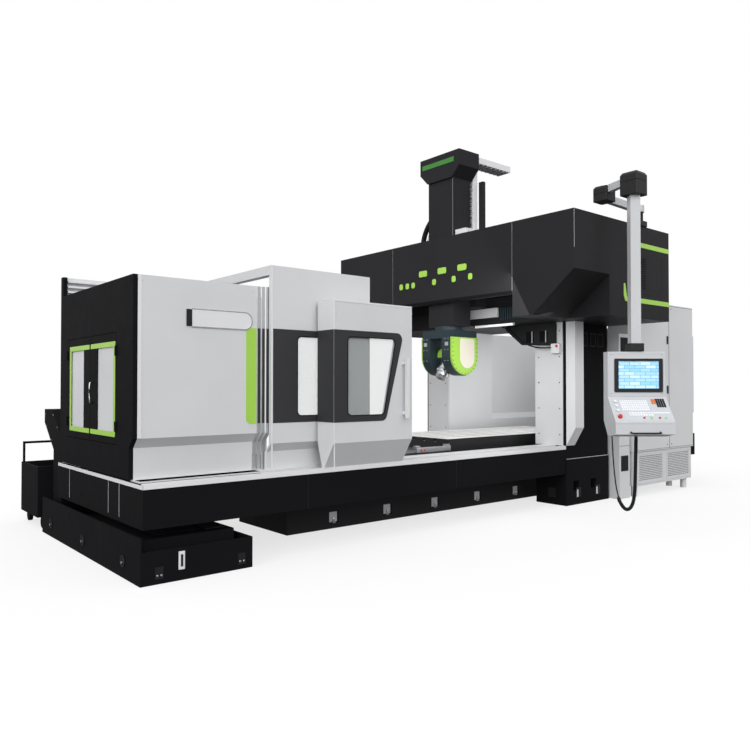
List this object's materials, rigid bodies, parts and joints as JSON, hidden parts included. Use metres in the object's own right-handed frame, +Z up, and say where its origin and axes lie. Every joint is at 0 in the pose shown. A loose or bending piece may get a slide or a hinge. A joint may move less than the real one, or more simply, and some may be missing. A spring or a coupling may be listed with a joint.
{
  "type": "double column machining center",
  "caption": "Gantry milling machine: table sliding on a long bed under a fixed beam on two columns, ram with swivelling fork head, splash housing, pendant and cabinet.",
  "frame": {"origin": "on the floor, in the bed's underside, below the head's vertical axis", "axes": "+X along the table's travel to the right, +Y from the operator's side to the far side, +Z up"},
  "size_m": [9.908, 5.408, 4.845],
  "materials": {
    "black_paint": "fine textured powder coat",
    "charcoal_paint": "satin paint",
    "white_paint": "satin powder coat",
    "grey_paint": "satin powder coat",
    "green_paint": "satin paint",
    "teal_paint": "satin paint",
    "steel": "ground steel",
    "iron": "scraped cast iron",
    "aluminium": "extruded, anodised",
    "clear": "polycarbonate sheet",
    "pendant_grey": "painted casting",
    "rubber": "cable sheath"
  },
  "bodies": {
    "frame": {"bed": "black_paint", "pan_left": "black_paint", "pan_right": "black_paint", "column_near": "black_paint", "column_far": "black_paint", "cross_rail": "charcoal_paint", "beam_end_near": "charcoal_paint", "beam_end_far": "charcoal_paint", "beam_cover_front": "charcoal_paint", "door_rails": "aluminium", "end_panel_left": "black_paint", "side_panel_near": "white_paint", "side_panel_far": "white_paint", "column_jamb": "white_paint", "column_guards": "white_paint", "right_shelves": "aluminium", "right_housing": "white_paint", "way_covers_fixed": "steel", "cabinet": "grey_paint", "cabinet_base": "grey_paint", "oil_chiller": "white_paint", "coolant_tank": "black_paint", "filter_box": "black_paint", "chip_conveyor": "black_paint", "chip_cart": "black_paint", "arm_post": "aluminium"},
    "table": {"table": "iron", "way_covers_table": "steel"},
    "cover_left_1": {"way_cover_left_1": "steel"},
    "cover_left_2": {"way_cover_left_2": "steel"},
    "cover_right_1": {"way_cover_right_1": "steel"},
    "cover_right_2": {"way_cover_right_2": "steel"},
    "saddle": {"saddle": "charcoal_paint", "cable_ladder": "white_paint", "hose_arch": "rubber"},
    "ram": {"ram": "black_paint"},
    "fork": {"fork": "teal_paint", "cheek_cover_near": "green_paint", "cheek_cover_far": "green_paint"},
    "tilt": {"spindle_housing": "steel"},
    "spindle": {"spindle": "steel"},
    "end_door_near": {"end_door_near": "black_paint", "end_pane_near": "clear"},
    "end_door_far": {"end_door_far": "black_paint", "end_pane_far": "clear"},
    "hood": {"sliding_hood": "white_paint", "hood_pane": "clear"},
    "front_door": {"front_door": "white_paint", "door_pane": "clear", "door_handle": "aluminium"},
    "arm_inner": {"arm_link_inner": "aluminium"},
    "arm_outer": {"arm_link_outer": "aluminium", "signal_lamp": "clear"},
    "pendant": {"drop_tube": "aluminium", "pendant": "pendant_grey", "handwheel_cord": "rubber", "handwheel_coil": "rubber"}
  },
  "joints": [
    {"name": "table_travel", "type": "slide", "parent": "frame", "child": "table", "axis": [1, 0, 0], "range_m": [-2.51, 0.69]},
    {"name": "cover_left_1_travel", "type": "slide", "parent": "frame", "child": "cover_left_1", "axis": [1, 0, 0], "range_m": [-0.8377, 0.231]},
    {"name": "cover_left_2_travel", "type": "slide", "parent": "frame", "child": "cover_left_2", "axis": [1, 0, 0], "range_m": [-1.6743, 0.461]},
    {"name": "cover_right_1_travel", "type": "slide", "parent": "frame", "child": "cover_right_1", "axis": [1, 0, 0], "range_m": [-0.8377, 0.231]},
    {"name": "cover_right_2_travel", "type": "slide", "parent": "frame", "child": "cover_right_2", "axis": [1, 0, 0], "range_m": [-1.6743, 0.461]},
    {"name": "cross_travel", "type": "slide", "parent": "frame", "child": "saddle", "axis": [0, 1, 0], "range_m": [-0.9, 0.9]},
    {"name": "ram_travel", "type": "slide", "parent": "saddle", "child": "ram", "axis": [0, 0, 1], "range_m": [-0.7, 0.25]},
    {"name": "head_swivel", "type": "hinge", "parent": "ram", "child": "fork", "pos_m": [0, 0, 2.43], "axis": [0, 0, 1], "range_deg": [-180, 180]},
    {"name": "head_tilt", "type": "hinge", "parent": "fork", "child": "tilt", "pos_m": [0, 0, 2.016], "axis": [0, 1, 0], "range_deg": [-130, 70]},
    {"name": "spindle_turn", "type": "hinge", "parent": "tilt", "child": "spindle", "pos_m": [-0.1775, 0, 1.70856], "axis": [-0.5, 0, -0.866], "continuous": true},
    {"name": "end_door_near_swing", "type": "hinge", "parent": "frame", "child": "end_door_near", "pos_m": [-4.926, -0.697, 1.58], "axis": [0, 0, 1], "range_deg": [0, 110]},
    {"name": "end_door_far_swing", "type": "hinge", "parent": "frame", "child": "end_door_far", "pos_m": [-4.926, 0.697, 1.58], "axis": [0, 0, -1], "range_deg": [0, 110]},
    {"name": "front_door_travel", "type": "slide", "parent": "frame", "child": "front_door", "axis": [1, 0, 0], "range_m": [0, 2.85]},
    {"name": "hood_travel", "type": "slide", "parent": "frame", "child": "hood", "axis": [1, 0, 0], "range_m": [0, 1.426]},
    {"name": "arm_swing", "type": "hinge", "parent": "frame", "child": "arm_inner", "pos_m": [1.268, -2.15, 3.85], "axis": [0, 0, 1], "range_deg": [0, 90]},
    {"name": "elbow_swing", "type": "hinge", "parent": "arm_inner", "child": "arm_outer", "pos_m": [0.44, -2.18, 3.95], "axis": [0, 0, 1], "range_deg": [-40, 90]},
    {"name": "pendant_turn", "type": "hinge", "parent": "arm_outer", "child": "pendant", "pos_m": [0.24, -2.68, 3.9], "axis": [0, 0, 1], "range_deg": [-90, 90]}
  ],
  "couplings": [
    {"joint": "cover_left_1_travel", "follows": "table_travel", "ratio": 0.33333},
    {"joint": "cover_left_2_travel", "follows": "table_travel", "ratio": 0.66667},
    {"joint": "cover_right_1_travel", "follows": "table_travel", "ratio": 0.33333},
    {"joint": "cover_right_2_travel", "follows": "table_travel", "ratio": 0.66667},
    {"joint": "hood_travel", "follows": "front_door_travel", "ratio": 0.5}
  ]
}
